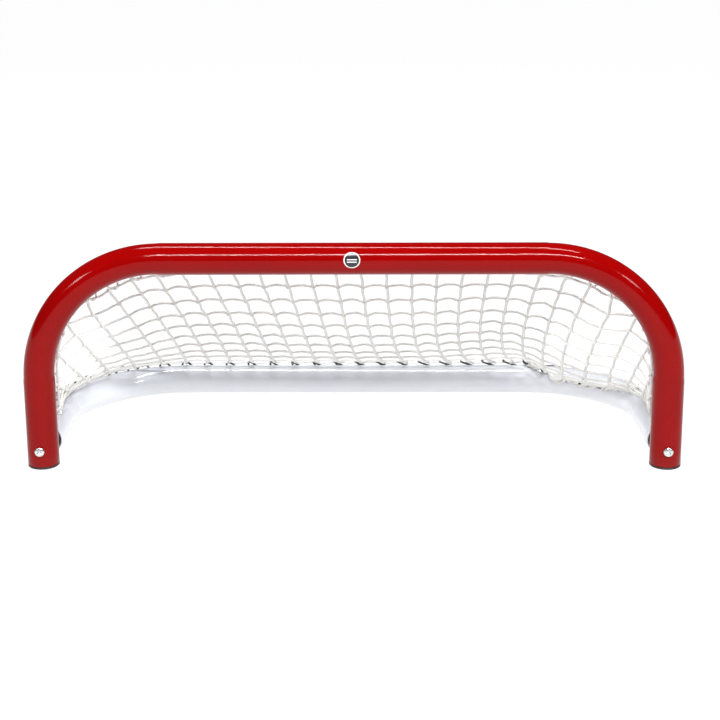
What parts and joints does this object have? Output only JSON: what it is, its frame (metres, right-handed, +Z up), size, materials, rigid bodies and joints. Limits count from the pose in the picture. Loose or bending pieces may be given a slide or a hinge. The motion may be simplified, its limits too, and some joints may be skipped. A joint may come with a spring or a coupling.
{
  "type": "hockey goal net",
  "caption": "Low hockey goal: a bent red tube arch bolted to a white tube base on the ground, with knotted netting laced over the back",
  "frame": {"origin": "middle of the goal's footprint, on the ground", "axes": "+X across the mouth to the right as seen by a player facing the goal, +Y from the mouth to the back of the net, +Z up"},
  "size_m": [1.0326, 0.4076, 0.3531],
  "materials": {
    "red_paint": "gloss red powder coat on steel",
    "white_paint": "gloss white powder coat on steel",
    "net_cord": "off-white knitted and laid cord",
    "black_plastic": "moulded black polyethylene",
    "zinc_steel": "bright zinc plate"
  },
  "bodies": {
    "root": {"base_border_cord": "net_cord", "base_frame": "white_paint", "base_lace": "net_cord", "base_lacing_rail": "white_paint", "base_standoff_1": "white_paint", "base_standoff_10": "white_paint", "base_standoff_11": "white_paint", "base_standoff_12": "white_paint", "base_standoff_2": "white_paint", "base_standoff_3": "white_paint", "base_standoff_4": "white_paint", "base_standoff_5": "white_paint", "base_standoff_6": "white_paint", "base_standoff_7": "white_paint", "base_standoff_8": "white_paint", "base_standoff_9": "white_paint", "front_border_cord": "net_cord", "front_frame": "red_paint", "front_lace": "net_cord", "front_lacing_rail": "red_paint", "front_standoff_1": "red_paint", "front_standoff_10": "red_paint", "front_standoff_11": "red_paint", "front_standoff_2": "red_paint", "front_standoff_3": "red_paint", "front_standoff_4": "red_paint", "front_standoff_5": "red_paint", "front_standoff_6": "red_paint", "front_standoff_7": "red_paint", "front_standoff_8": "red_paint", "front_standoff_9": "red_paint", "left_base_plug": "black_plastic", "left_foot_cap": "black_plastic", "left_frame_bolt": "zinc_steel", "left_plug_nut": "zinc_steel", "netting": "net_cord", "right_base_plug": "black_plastic", "right_foot_cap": "black_plastic", "right_frame_bolt": "zinc_steel", "right_plug_nut": "zinc_steel"}
  },
  "joints": []
}
